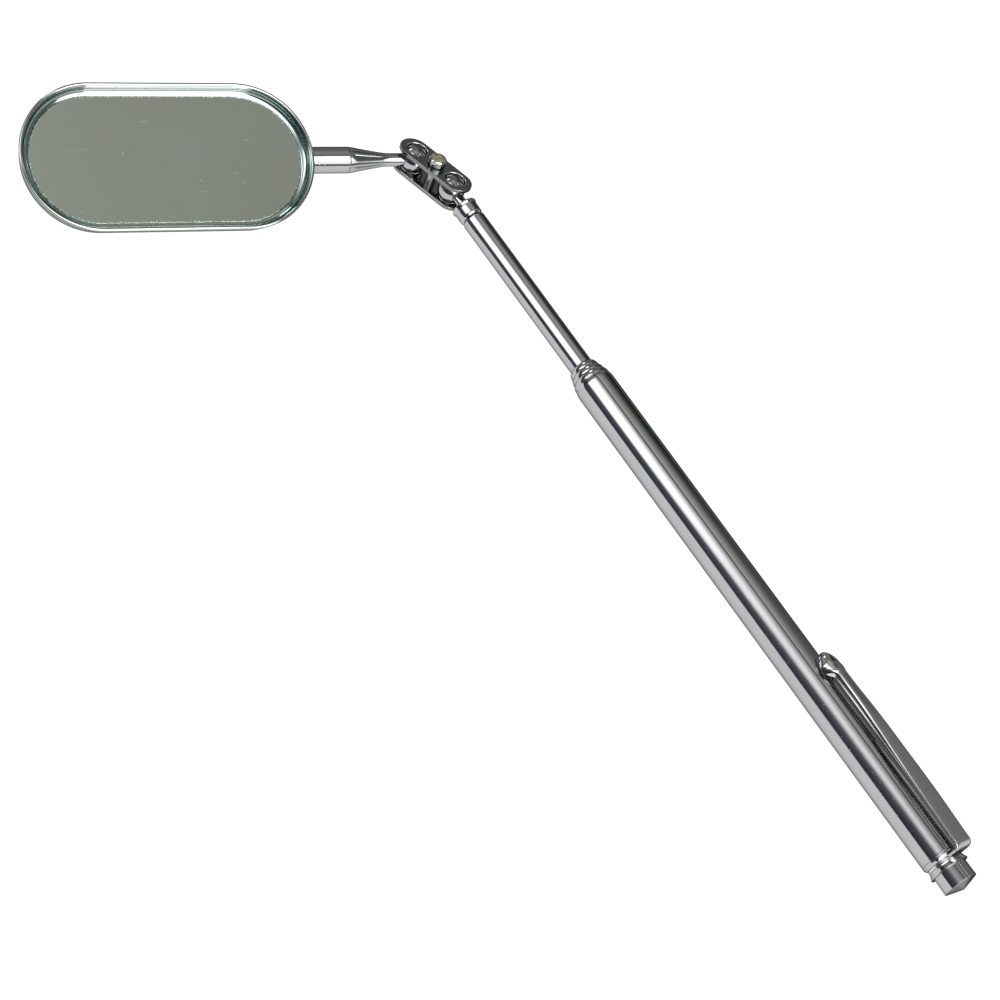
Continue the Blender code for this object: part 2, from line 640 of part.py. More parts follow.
def build():
    clear_scene()
    chrome = make_material("chrome", (0.80, 0.80, 0.81), 0.08, 1.0)
    turned = make_material("turned_steel", (0.70, 0.70, 0.70), 0.25, 1.0)
    brass = make_material("brass", (0.72, 0.60, 0.32), 0.3, 1.0)
    silvered = make_material("silvered_glass", (0.62, 0.68, 0.65), 0.02, 1.0)
    foam = make_material("backing", (0.08, 0.08, 0.08), 0.9, 0.0)

    rest = make_empty("rest_frame", rotation=Matrix.Rotation(REST_PITCH, 4, "Y"))
    handle = make_empty("handle", rest)
    build_handle(handle, chrome, brass)

    clip_seat = make_empty("clip_seat", handle,
                           rotation=Matrix.Rotation(CLIP_ANGLE - math.pi / 2, 4, "X"))
    build_clip_eyelet(clip_seat, chrome)
    hinge = (CLIP_ROOT + SEAM / 2, CLIP_ROOT_HEIGHT - CLIP_SHEET / 2)
    clip = make_empty("clip_flex", clip_seat, (hinge[0], 0, hinge[1]))
    build_clip_arm(clip, chrome, hinge)

    outer = make_empty("outer_slide", handle, (OUTER_FRONT, 0, 0))
    build_outer_section(outer, chrome, brass)
    middle = make_empty("middle_slide", outer, (MIDDLE_FRONT - OUTER_FRONT, 0, 0))
    build_middle_section(middle, chrome, brass)
    inner = make_empty("inner_slide", middle, (INNER_FRONT - MIDDLE_FRONT, 0, 0))
    build_inner_section(inner, chrome, brass)

    spin = make_empty("rod_spin", inner, (BALL_X - INNER_FRONT, 0, 0),
                      Matrix.Rotation(REST_SPIN, 4, "X"))
    build_rod_stud(spin, chrome)
    rod_tilt = make_empty("rod_tilt", spin, rotation=Matrix.Rotation(REST_ROD_TILT, 4, "Y"))
    build_ball("rod_ball", rod_tilt, chrome)
    link = make_empty("rod_swing", rod_tilt, rotation=Matrix.Rotation(REST_ROD_SWING, 4, "Z"))
    build_plate("front_plate", link, chrome, 1)
    build_plate("rear_plate", link, chrome, -1)
    build_clamp(link, chrome, brass)

    mirror_swing = make_empty("mirror_swing", link, (-BALL_SPACING, 0, 0),
                              Matrix.Rotation(REST_MIRROR_SWING, 4, "Z"))
    build_ball("mirror_ball", mirror_swing, chrome)
    mirror_tilt = make_empty("mirror_tilt", mirror_swing,
                             rotation=Matrix.Rotation(REST_MIRROR_TILT, 4, "Y"))
    build_mirror_stem(mirror_tilt, turned)
    roll = make_empty("mirror_roll", mirror_tilt,
                      rotation=Matrix.Rotation(REST_MIRROR_ROLL, 4, "X"))
    build_mirror_head(roll, chrome, silvered, foam)
    set_down(rest)


build()
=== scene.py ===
"""Looks of the telescoping inspection mirror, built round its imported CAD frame.

Each piece is modelled in millimetres in the local frame of the joint that carries it,
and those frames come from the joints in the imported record. X runs along the handle,
the link or the mirror's stem, always towards the handle's end.
"""

import json
import math

import bmesh
import bpy
from mathutils import Matrix, Vector


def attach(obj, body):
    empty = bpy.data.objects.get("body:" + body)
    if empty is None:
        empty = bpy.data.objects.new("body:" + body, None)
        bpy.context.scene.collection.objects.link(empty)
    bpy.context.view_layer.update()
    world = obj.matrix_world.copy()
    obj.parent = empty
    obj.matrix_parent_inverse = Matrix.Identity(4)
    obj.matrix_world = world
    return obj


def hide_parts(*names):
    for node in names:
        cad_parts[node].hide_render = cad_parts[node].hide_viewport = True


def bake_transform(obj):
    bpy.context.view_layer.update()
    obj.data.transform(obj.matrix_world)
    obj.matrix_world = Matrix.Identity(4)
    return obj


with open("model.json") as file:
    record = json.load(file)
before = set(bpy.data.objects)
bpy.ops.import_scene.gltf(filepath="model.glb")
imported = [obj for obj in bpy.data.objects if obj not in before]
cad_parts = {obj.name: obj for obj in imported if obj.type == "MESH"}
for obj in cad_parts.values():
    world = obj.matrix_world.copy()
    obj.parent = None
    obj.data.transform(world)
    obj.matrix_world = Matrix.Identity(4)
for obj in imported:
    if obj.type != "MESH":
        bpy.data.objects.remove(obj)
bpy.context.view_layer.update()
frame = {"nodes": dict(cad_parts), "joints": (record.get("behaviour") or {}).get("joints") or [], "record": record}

# ------------------------------------------------------------------ sizes, in millimetres

MM = 0.001
SEAM = 0.05                    # gap left between two pieces that touch

BALL_TO_NOSE = 40.23           # rod ball's centre to the nose face, along the handle
BALL_R = 2.38

SPACING = 9.0                  # between the balls' centres
PLATE_IN = 1.65                # faces of a clamp plate, from the balls' centres
PLATE_OUT = 2.3
RING_R = 1.96                  # outer end of the rolled edge of a ball's hole
SCREW_TOP = PLATE_OUT + SEAM + 1.4

STEM_REACH = 19.06             # mirror ball's centre to the dish's lip
HEAD_LENGTH = 50.8
HEAD_WIDTH = 25.9
CENTER_X = -(STEM_REACH + HEAD_LENGTH / 2)
STRAIGHT = (HEAD_LENGTH - HEAD_WIDTH) / 2    # half of the oval's straight part
GLASS_INSET = 1.85             # lip's outline in to the glass

# ------------------------------------------------------------------ local frames

joints = {joint["name"]: joint for joint in frame["joints"]}
mounts = {mount["name"]: mount for mount in frame["record"]["mounts"]}


def axis_frame(origin, x_axis, z_axis):
    """Matrix with the given origin, X axis, and Z axis squared up to X."""
    x = Vector(x_axis).normalized()
    z = Vector(z_axis)
    z = (z - x * z.dot(x)).normalized()
    y = z.cross(x)
    matrix = Matrix((x, y, z)).transposed().to_4x4()
    matrix.translation = Vector(origin)
    return matrix


rod_ball = Vector(joints["stud_spin"]["pos_m"])
mirror_ball = Vector(joints["mirror_ball_swing"]["pos_m"])
handle_axis = Vector(joints["stud_spin"]["axis"])
plate_axis = Vector(joints["rod_ball_swing"]["axis"])
clip_side = handle_axis.cross(Vector(joints["clip_flex"]["axis"]))
stem_axis = Vector(joints["mirror_roll"]["axis"])
stem_up = stem_axis.cross(Vector(joints["mirror_ball_tilt"]["axis"]))
head_up = -Vector(mounts["dish_back"]["axis"])
nose = rod_ball + handle_axis * (BALL_TO_NOSE * MM)

HANDLE = axis_frame(nose, handle_axis, (0, 0, 1))
CLIP = axis_frame(nose, handle_axis, clip_side)
STUD = axis_frame(rod_ball, handle_axis, (0, 0, 1))
LINK = axis_frame(rod_ball, rod_ball - mirror_ball, plate_axis)
MIRROR_BALL = axis_frame(mirror_ball, stem_axis, plate_axis)
STEM = axis_frame(mirror_ball, stem_axis, stem_up)
HEAD = axis_frame(mirror_ball, stem_axis, head_up)

# ------------------------------------------------------------------ mesh helpers

LATHE_SIDES = 128
HOLE_SIDES = 96


def make_piece(name, mesh_data, matrix, body, material, replaces=(), sharp=30):
    """Finish a bmesh in millimetres as a piece, which rides on the body if one is given."""
    bmesh.ops.scale(mesh_data, vec=(MM, MM, MM), verts=mesh_data.verts)
    bmesh.ops.remove_doubles(mesh_data, verts=mesh_data.verts, dist=1e-7)
    bmesh.ops.recalc_face_normals(mesh_data, faces=mesh_data.faces)
    mesh = bpy.data.meshes.new(name)
    mesh_data.to_mesh(mesh)
    mesh_data.free()
    mesh.shade_smooth()
    mesh.set_sharp_from_angle(angle=math.radians(sharp))
    mesh.materials.append(material)
    piece = bpy.data.objects.new(name, mesh)
    bpy.context.scene.collection.objects.link(piece)
    piece.matrix_world = matrix
    if body:
        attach(piece, body)
    if replaces:
        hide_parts(*replaces)
    return piece


def join_rings(mesh_data, rings, closed=False):
    """Skin rings of vertices in order. A ring of one vertex makes a pole."""
    pairs = list(zip(rings, rings[1:]))
    if closed:
        pairs.append((rings[-1], rings[0]))
    for first, second in pairs:
        count = max(len(first), len(second))
        for i in range(count):
            j = (i + 1) % count
            corners = [first[i % len(first)], first[j % len(first)],
                       second[j % len(second)], second[i % len(second)]]
            unique = list(dict.fromkeys(corners))
            if len(unique) > 2:
                mesh_data.faces.new(unique)


def circle(radius, sides):
    """Points of a circle round the origin."""
    angles = [2 * math.pi * i / sides for i in range(sides)]
    return [(radius * math.cos(a), radius * math.sin(a)) for a in angles]


def lathe(profile, closed=False, axis="X"):
    """Turn (height, radius) points round X or Z. Radius 0 makes a pole."""
    mesh_data = bmesh.new()
    rings = []
    for height, radius in profile:
        around = circle(radius, LATHE_SIDES) if radius > 1e-9 else [(0, 0)]
        places = [(height, u, v) if axis == "X" else (u, v, height) for u, v in around]
        rings.append([mesh_data.verts.new(place) for place in places])
    join_rings(mesh_data, rings, closed)
    return mesh_data


def arc(center, radius, start, end, steps=8):
    """Points on a circle in a profile plane, angles in degrees."""
    angles = [math.radians(start + (end - start) * i / steps) for i in range(steps + 1)]
    return [(center[0] + radius * math.cos(a), center[1] + radius * math.sin(a)) for a in angles]


def round_corners(points, radii, steps=5):
    """Replace the corners of a polyline by curves; radii are per point, 0 keeps the corner."""
    result = []
    for i, (point, radius) in enumerate(zip(points, radii)):
        if radius <= 0:
            result.append(point)
            continue
        here = Vector(point)
        before = Vector(points[i - 1]) - here
        after = Vector(points[i + 1]) - here
        half = before.angle(after) / 2
        reach = min(radius / math.tan(half), before.length * 0.49, after.length * 0.49)
        start = here + before.normalized() * reach
        end = here + after.normalized() * reach
        for k in range(steps + 1):
            t = k / steps
            bend = start * (1 - t) ** 2 + here * 2 * t * (1 - t) + end * t ** 2
            result.append(tuple(bend))
    return result


def loop_edges(mesh_data, ring):
    """The edges of a closed ring of vertices, made where they are missing."""
    edges = []
    for first, second in zip(ring, ring[1:] + ring[:1]):
        edges.append(mesh_data.edges.get((first, second)) or mesh_data.edges.new((first, second)))
    return edges


# ------------------------------------------------------------------ material helpers


class Nodes:
    """Short names for building a node tree."""

    def __init__(self, tree):
        self.tree = tree
        tree.nodes.clear()

    def connect(self, output, target):
        self.tree.links.new(output, target)

    def feed(self, target, value):
        """Link a socket, or set a constant."""
        if isinstance(value, bpy.types.NodeSocket):
            self.connect(value, target)
        else:
            target.default_value = value

    def add(self, kind, inputs=None, **settings):
        node = self.tree.nodes.new(kind)
        for key, value in settings.items():
            setattr(node, key, value)
        for key, value in (inputs or {}).items():
            self.feed(node.inputs[key], value)
        return node

    def math(self, operation, first, second=0.0, third=0.0, clamp=False):
        inputs = {0: first, 1: second, 2: third}
        node = self.add("ShaderNodeMath", inputs, operation=operation, use_clamp=clamp)
        return node.outputs[0]

    def product(self, value, *factors):
        for factor in factors:
            value = self.math("MULTIPLY", value, factor)
        return value

    def largest(self, value, *others):
        for other in others:
            value = self.math("MAXIMUM", value, other)
        return value

    def distance(self, across, along):
        """Length of a flat vector."""
        squares = self.math("ADD", self.product(across, across), self.product(along, along))
        return self.math("SQRT", squares)

    def split(self, vector):
        outputs = self.add("ShaderNodeSeparateXYZ", {"Vector": vector}).outputs
        return outputs["X"], outputs["Y"], outputs["Z"]

    def ramp(self, factor, stops):
        """Color by a factor from 0 to 1. A stop is (place, color), or (place, gray)."""
        node = self.add("ShaderNodeValToRGB", {"Fac": factor})
        elements = node.color_ramp.elements
        while len(elements) < len(stops):
            elements.new(0.5)
        for element, (place, color) in zip(elements, stops):
            element.position = place
            if not isinstance(color, tuple):
                color = (color, color, color)
            element.color = (*color, 1.0)
        return node.outputs["Color"]

    def curve(self, value, stops):
        """A ramp whose stops are in the units of the value, from its lowest to its highest."""
        low, high = stops[0][0], stops[-1][0]
        places = [((place - low) / (high - low), color) for place, color in stops]
        return self.ramp(self.map_range(value, low, high), places)

    def map_range(self, value, low, high, to_low=0.0, to_high=1.0):
        """Straight line from (low, to_low) to (high, to_high), and flat beyond them."""
        inputs = {"Value": value, "From Min": low, "From Max": high,
                  "To Min": to_low, "To Max": to_high}
        return self.add("ShaderNodeMapRange", inputs).outputs["Result"]

    def blend_colors(self, operation, first, second, factor=1.0):
        node = self.add("ShaderNodeMix", data_type="RGBA", blend_type=operation)
        colors = [socket for socket in node.inputs if socket.type == "RGBA"]
        self.feed(node.inputs["Factor"], factor)
        self.feed(colors[0], first)
        self.feed(colors[1], second)
        return next(socket for socket in node.outputs if socket.type == "RGBA")

    def noise(self, vector, scale, detail=3.0):
        inputs = {"Vector": vector, "Scale": scale, "Detail": detail, "Roughness": 0.55}
        return self.add("ShaderNodeTexNoise", inputs).outputs["Fac"]

    def stretched_noise(self, vector, scales, detail=3.0):
        """Noise with its own scale along each axis."""
        mapping = self.add("ShaderNodeMapping", {"Vector": vector, "Scale": scales})
        return self.noise(mapping.outputs["Vector"], 1.0, detail)

    def bump(self, height, strength, distance):
        inputs = {"Height": height, "Strength": strength, "Distance": distance}
        return self.add("ShaderNodeBump", inputs).outputs["Normal"]


def new_material(name, metallic=0.0):
    """A Principled material: itself, its nodes, its shader and the place on the object."""
    material = bpy.data.materials.new(name)
    material.use_nodes = True
    nodes = Nodes(material.node_tree)
    output = nodes.add("ShaderNodeOutputMaterial")
    shader = nodes.add("ShaderNodeBsdfPrincipled")
    shader.inputs["Metallic"].default_value = metallic
    nodes.connect(shader.outputs[0], output.inputs["Surface"])
    place = nodes.add("ShaderNodeTexCoord").outputs["Object"]
    return material, nodes, shader, place


def oval_place(nodes, place):
    """In the head: distance past the oval's straight part, from its middle line, and height."""
    x, y, z = nodes.split(place)
    from_center = nodes.math("ABSOLUTE", nodes.math("SUBTRACT", x, CENTER_X * MM))
    past = nodes.largest(nodes.math("SUBTRACT", from_center, STRAIGHT * MM), 0.0)
    return past, nodes.distance(past, y), z


# ------------------------------------------------------------------ materials

CHROME_COLOR = (0.465, 0.47, 0.475)
OUTLINE_SHADE_TINT = (0.25, 0.25, 0.26, 1.0)   # painted shade: a dark edge tint that darkens the chrome's reflections along its outlines
# Painted highlight on the rolled edge of each ball's hole.
HOLE_HIGHLIGHT_COLOR = (0.75, 0.76, 0.75, 1.0)
# Painted reflection of the glass edge on the dish's inner wall.
GLASS_REFLECTION_TINT = (0.76, 1.0, 0.95, 1.0)
CHIP_PALE = (0.60, 0.66, 0.58, 1.0)
CHIP_GREEN = (0.26, 0.52, 0.46, 1.0)
SCREW_PLATE = (0.42, 0.43, 0.43, 1.0)
WHITE = (1.0, 1.0, 1.0, 1.0)
FINE_BUMP = 0.006 * MM
LATHE_BUMP = 0.02 * MM
GRAIN_BUMP = 0.01 * MM


def plated(name, color=CHROME_COLOR, polish=0.05, scuff=0.1, wear=None, soft_to=None,
           lathe_marks=False, tint=None):
    """Chrome plate: a slightly uneven polish with fine scuffs and specks.

    wear is a pair of places along X between which the polish gives way to a scuffed surface.
    Up to soft_to the polish is duller. lathe_marks adds fine rings left by the lathe. tint
    turns the plate's color into the final one.
    """
    material, nodes, shader, place = new_material(name, metallic=1.0)
    # Painted shade: the dark specular tint darkens the chrome along its outlines.
    shader.inputs["Specular Tint"].default_value = OUTLINE_SHADE_TINT
    along = nodes.split(place)[0]
    cloud = nodes.stretched_noise(place, (120, 500, 500))
    specks = nodes.math("GREATER_THAN", nodes.noise(place, 1900, 1.0), 0.715)

    roughness = nodes.map_range(cloud, 0.3, 0.75, polish * 0.7, polish * 1.5)
    if wear:
        worn = nodes.map_range(along, wear[0] * MM, wear[1] * MM)
        scuffs = nodes.product(worn, nodes.map_range(cloud, 0.25, 0.8, scuff * 0.7, scuff))
        roughness = nodes.math("ADD", roughness, scuffs)
        specks = nodes.product(specks, worn)
    roughness = nodes.math("ADD", roughness, nodes.product(specks, 0.18))
    if soft_to:
        dull = nodes.map_range(along, soft_to * MM, (soft_to + 0.3) * MM, 0.05, 0.0)
        roughness = nodes.math("ADD", roughness, dull)
    nodes.connect(roughness, shader.inputs["Roughness"])

    plate = nodes.ramp(cloud, ((0.3, tuple(c * 0.96 for c in color)), (0.7, color)))
    if tint:
        plate = tint(nodes, place, plate)
    nodes.connect(plate, shader.inputs["Base Color"])

    if lathe_marks:
        rings = nodes.stretched_noise(place, (4200, 160, 160), 2.0)
        chatter = nodes.stretched_noise(place, (900, 700, 700))
        normal = nodes.bump(nodes.math("ADD", rings, chatter), 0.25, LATHE_BUMP)
    else:
        grain = nodes.stretched_noise(place, (2500, 900, 900), 2.0)
        normal = nodes.bump(nodes.product(grain, 0.25), 0.25, FINE_BUMP)
    nodes.connect(normal, shader.inputs["Normal"])
    return material


def painted_hole_highlights(nodes, place, plate):
    """Painted highlight: brighter plate on the rolled edge of each ball's hole in the link."""
    x, y, z = nodes.split(place)
    middle = SPACING / 2 * MM
    from_ball = nodes.math("SUBTRACT", nodes.math("ABSOLUTE", nodes.math("ADD", x, middle)), middle)
    in_ring = nodes.math("LESS_THAN", nodes.distance(from_ball, y), (RING_R + 0.005) * MM)
    outside = nodes.math("GREATER_THAN", nodes.math("ABSOLUTE", z), (PLATE_OUT - 0.1) * MM)
    return nodes.blend_colors("MIX", plate, HOLE_HIGHLIGHT_COLOR, nodes.product(in_ring, outside))


def painted_edge_reflection(nodes, place, plate):
    """Painted reflection: greener plate inside the dish's arcs, standing in for the glass edge that the real one
    mirrors.
    """
    past, radius, height = oval_place(nodes, place)
    lip = HEAD_WIDTH / 2
    inside = nodes.product(
        nodes.math("LESS_THAN", radius, (lip - 0.62) * MM),
        nodes.math("GREATER_THAN", height, 0.5 * MM),
        nodes.map_range(radius, (lip - 1.45) * MM, (lip - 1.15) * MM, 0.25, 1.0),
        nodes.map_range(past, 0.0, 7.0 * MM))
    return nodes.blend_colors("MULTIPLY", plate, GLASS_REFLECTION_TINT, inside)


def silvered_glass(name):
    """Silvered float glass: greenish, with dust, hair scratches and a chipped edge."""
    material, nodes, shader, place = new_material(name, metallic=1.0)
    haze = nodes.noise(place, 60)
    silver = nodes.ramp(haze, ((0.35, (0.645, 0.665, 0.61)), (0.7, (0.635, 0.69, 0.65))))
    dust = nodes.math("GREATER_THAN", nodes.noise(place, 1500, 1.0), 0.80)
    hairs = nodes.math("GREATER_THAN", nodes.stretched_noise(place, (140, 2600, 1), 1.0), 0.77)

    past, radius, _ = oval_place(nodes, place)
    chips_from = HEAD_WIDTH / 2 - GLASS_INSET - 0.14
    ragged = nodes.map_range(nodes.noise(place, 2300), 0.35, 0.7, -0.25 * MM, 0.25 * MM)
    chips = nodes.math("GREATER_THAN", nodes.math("ADD", radius, ragged), chips_from * MM)
    green = nodes.product(nodes.map_range(nodes.noise(place, 1700, 2.0), 0.42, 0.52),
                          nodes.map_range(past, 0.0, 4.0 * MM))
    chipped = nodes.blend_colors("MIX", CHIP_PALE, CHIP_GREEN, green)

    marks = nodes.largest(dust, nodes.product(hairs, 0.6), chips)
    nodes.connect(nodes.math("MULTIPLY_ADD", marks, 0.4, 0.015), shader.inputs["Roughness"])
    nodes.connect(nodes.blend_colors("MIX", silver, chipped, chips), shader.inputs["Base Color"])
    return material


def brass(name):
    """Bare turned brass with a soft grain."""
    material, nodes, shader, place = new_material(name, metallic=1.0)
    grain = nodes.stretched_noise(place, (900, 300, 300))
    tint = nodes.ramp(grain, ((0.3, (0.576, 0.48, 0.256)), (0.7, (0.72, 0.60, 0.32))))
    nodes.connect(nodes.map_range(grain, 0.3, 0.7, 0.24, 0.375), shader.inputs["Roughness"])
    nodes.connect(tint, shader.inputs["Base Color"])
    nodes.connect(nodes.bump(grain, 0.3, GRAIN_BUMP), shader.inputs["Normal"])
    return material


def screw_metal(name):
    """Plated screw whose cut end shows the brass under the plate."""
    material, nodes, shader, place = new_material(name)
    height = nodes.split(place)[2]
    grain = nodes.noise(place, 1500)
    cut_end = nodes.ramp(grain, ((0.40, (0.12, 0.12, 0.08)), (0.60, (0.42, 0.41, 0.29))))
    bare = nodes.map_range(height, (SCREW_TOP - 0.05) * MM, (SCREW_TOP + 0.01) * MM)
    color = nodes.blend_colors("MIX", SCREW_PLATE, cut_end, bare)
    nodes.connect(color, shader.inputs["Base Color"])
    nodes.connect(nodes.map_range(grain, 0.3, 0.7, 0.2, 0.45), shader.inputs["Roughness"])
    nodes.connect(nodes.map_range(bare, 0.0, 1.0, 1.0, 0.5), shader.inputs["Metallic"])
    nodes.connect(nodes.bump(grain, 0.3, GRAIN_BUMP), shader.inputs["Normal"])
    return material


def foam(name):
    """Black foam with fine cells."""
    material, nodes, shader, place = new_material(name)
    color = nodes.ramp(nodes.noise(place, 2600, 4.0), ((0.3, 0.015), (0.7, 0.06)))
    nodes.connect(color, shader.inputs["Base Color"])
    shader.inputs["Roughness"].default_value = 0.9
    return material


CHROME = plated("chrome")
HANDLE_CHROME = plated("handle_chrome", scuff=0.06, wear=(15, 60), soft_to=3.2)
CLIP_CHROME = plated("clip_chrome", color=(0.64, 0.665, 0.64), polish=0.07, scuff=0.16,
                     wear=(67, 72))
# Painted reflection: the dish's plate is slightly teal, and greener inside its arcs, for the glass edge it
# mirrors.
DISH_CHROME = plated("dish_chrome", color=(0.50, 0.525, 0.515), polish=0.07, tint=painted_edge_reflection)
BALL_CHROME = plated("ball_chrome", polish=0.13)
TURNED = plated("turned_plate", polish=0.10, lathe_marks=True)
# The plates carry a painted highlight round each ball's hole.
PLATE_CHROME = plated("plate_chrome", color=(0.23, 0.235, 0.23), polish=0.06, tint=painted_hole_highlights)
GLASS = silvered_glass("silvered_glass")
SCREW = screw_metal("screw_metal")
BUSH_BRASS = brass("bush_brass")
FOAM = foam("backing_foam")

# ------------------------------------------------------------------ handle

TUBE_R = 3.45
TUBE_BORE = 3.05
TUBE_END = 100.5
NOSE_BORE = 2.15
NOSE_R = 2.26                  # at the nose's front
NOSE_SLOPE = 0.3
BEAD_START = 0.12
BEAD_PITCH = 1.05
BEAD_HEIGHT = 0.13
BEAD_COUNT = 3
SHOULDER = 1.15                # length of the round shoulder behind the beads

RING_START = TUBE_END + SEAM
RING_END = RING_START + 0.8
CLIP_SHEET = 0.4
RISER = RING_END + SEAM + CLIP_SHEET     # outer face of the clip's riser and washer
PLUG_BORE = 1.95


def nose_outline(bead_steps=18, shoulder_steps=12):
    """Beads on a slope, then a shoulder up to the tube."""
    points = []
    for step in range(BEAD_COUNT * bead_steps):
        x = BEAD_START + BEAD_PITCH * step / bead_steps
        swell = abs(math.sin(math.pi * step / bead_steps)) ** 0.8
        points.append((x, NOSE_R + NOSE_SLOPE * x + BEAD_HEIGHT * swell))
    last = BEAD_START + BEAD_COUNT * BEAD_PITCH
    low = NOSE_R + NOSE_SLOPE * last
    for step in range(shoulder_steps + 1):
        t = step / shoulder_steps
        rise = math.sin(t * math.pi / 2) ** 0.85
        points.append((last + SHOULDER * t, low + (TUBE_R - low) * rise))
    points.append((last + SHOULDER + 0.25, TUBE_R))
    return points


def build_barrel():
    """The handle's tube with its beaded nose."""
    edge = 0.05
    shape = [(0.0, NOSE_BORE + 0.02)] + nose_outline() + [(TUBE_END - 0.3, TUBE_R)]
    shape += arc((TUBE_END - edge, TUBE_R - edge), edge, 90, 0, 3)
    shape += [(TUBE_END, TUBE_BORE), (4.6, TUBE_BORE), (3.2, 2.6), (1.6, NOSE_BORE),
              (0.0, NOSE_BORE)]
    make_piece("handle_barrel", lathe(shape, closed=True), HANDLE, "handle",
               HANDLE_CHROME, ("handle_tube",), sharp=50)


def build_end_ring():
    """Plug in the tube's end, with a flange that narrows towards the clip's washer."""
    plug_start, plug_r, face_r = TUBE_END - 6, 3.0, 3.08
    ring = [(plug_start, plug_r), (RING_START, plug_r), (RING_START, TUBE_R),
            (RING_START + 0.35, TUBE_R), (RING_END, face_r), (RING_END, PLUG_BORE),
            (plug_start, PLUG_BORE)]
    ring = round_corners(ring, (0, 0, 0.04, 0.08, 0.08, 0, 0))
    make_piece("end_ring", lathe(ring, closed=True), HANDLE, "handle", HANDLE_CHROME,
               ("end_bush",))


def build_end_knob():
    """Peg, flared flange and a button with a flat cone on its end."""
    peg_start, peg_r = TUBE_END - 5, 1.85
    flange_r, rim_r, button_r = 3.08, 3.43, 2.9
    flange = RISER + SEAM
    knob = flange + 1.05
    end = knob + 2.9
    tip = end + 0.85
    cap = [(peg_start, 0), (peg_start, peg_r), (flange, peg_r), (flange, flange_r),
           (flange + 0.3, flange_r + 0.04), (knob - 0.12, rim_r), (knob, rim_r),
           (knob, button_r), (end, button_r + 0.05), (tip, 0.15), (tip, 0)]
    cap = round_corners(cap, (0, 0, 0, 0.06, 0.1, 0.05, 0.05, 0.05, 0.04, 0.1, 0))
    make_piece("end_knob", lathe(cap), HANDLE, "handle", HANDLE_CHROME, ("end_cap",))


# ------------------------------------------------------------------ telescope

OUTER_FRONT, OUTER_BACK = -33.2, 60.0
MIDDLE_FRONT, MIDDLE_BACK = OUTER_FRONT + SEAM, 54.5
ROD_FRONT, ROD_BACK = -35.2, 50.0
OUTER_R, OUTER_BORE = 2.05, 1.75
MIDDLE_R, MIDDLE_BORE = 1.6, 1.35
INNER_R = 1.2
GUIDE_GAP = 0.08               # a tube's narrowed mouth, clear of the section inside it


def build_section(name, front, back, outer, bore, guide, body, node):
    """Tube with a rolled front edge and a narrowed mouth."""
    tip = 0.25
    shape = [(front + 1.2, bore), (front + 0.6, guide), (front, guide)]
    shape += arc((front + tip, outer - tip), tip, 180, 90)
    shape += [(back - 0.05, outer), (back, outer - 0.05), (back, bore)]
    make_piece(name, lathe(shape, closed=True), HANDLE, body, CHROME, (node,))


def build_telescope():
    """Two tubes and a rod, one in the other."""
    build_section("outer_section_tube", OUTER_FRONT, OUTER_BACK, OUTER_R, OUTER_BORE,
                  MIDDLE_R + GUIDE_GAP, "outer_section", "outer_tube")
    build_section("middle_section_tube", MIDDLE_FRONT, MIDDLE_BACK, MIDDLE_R, MIDDLE_BORE,
                  INNER_R + GUIDE_GAP, "middle_section", "middle_tube")
    rod = [(ROD_FRONT, 0), (ROD_FRONT, INNER_R), (ROD_BACK, INNER_R), (ROD_BACK, 0)]
    rod = round_corners(rod, (0, 0.1, 0.1, 0), 4)
    make_piece("inner_section_rod", lathe(rod), HANDLE, "inner_section", CHROME,
               ("inner_rod",))


# ------------------------------------------------------------------ balls and link

HALF_WIDTH = 2.65              # of a clamp plate
PLATE_OVERRUN = 0.5            # the plate's round ends are centred this far beyond the balls
PLATE_EDGE = 0.12
HOLE_R = 1.78
HOLE_EDGE = 0.13
SCREW_HOLE_R = 1.0
CHAMFER = 0.04


def ball_seat(neck):
    """Profile of a neck's hollow end, which fits round a ball."""
    radii = [neck * k / 6 for k in range(7)]
    return [(math.sqrt((BALL_R + SEAM) ** 2 - radius ** 2), radius) for radius in radii]


def build_stud():
    """Neck and collar, with a rolled flange at the front and a rounded back edge."""
    neck, collar, socket = 1.0, 2.1, 1.25
    back, back_edge = 6.88, 0.7
    profile = ball_seat(neck) + [(3.6, neck), (3.8, neck + 0.25), (3.85, neck + 0.5)]
    profile += arc((4.15, 2.02), 0.28, 180, 60)
    profile += [(4.5, collar + 0.03), (4.62, collar), (5.0, collar)]
    profile += arc((back - back_edge, collar - back_edge), back_edge, 90, 0, 10)
    profile += [(back, socket), (back - 1.9, socket), (back - 1.9, 0)]
    make_piece("stud_collar", lathe(profile), STUD, "stud", CHROME, ("rod_stud",),
               sharp=50)


def build_ball(name, matrix, body, node):
    """Steel ball, smooth all over."""
    make_piece(name, lathe(arc((0, 0), BALL_R, 180, 0, 64)), matrix, body, BALL_CHROME,
               (node,), sharp=180)


def plate_outline(inset):
    """Outline of a clamp plate, moved inwards."""
    points = []
    for center, start in ((PLATE_OVERRUN, -90), (-SPACING - PLATE_OVERRUN, 90)):
        points += arc((center, 0), HALF_WIDTH - inset, start, start + 180, 32)
    return points


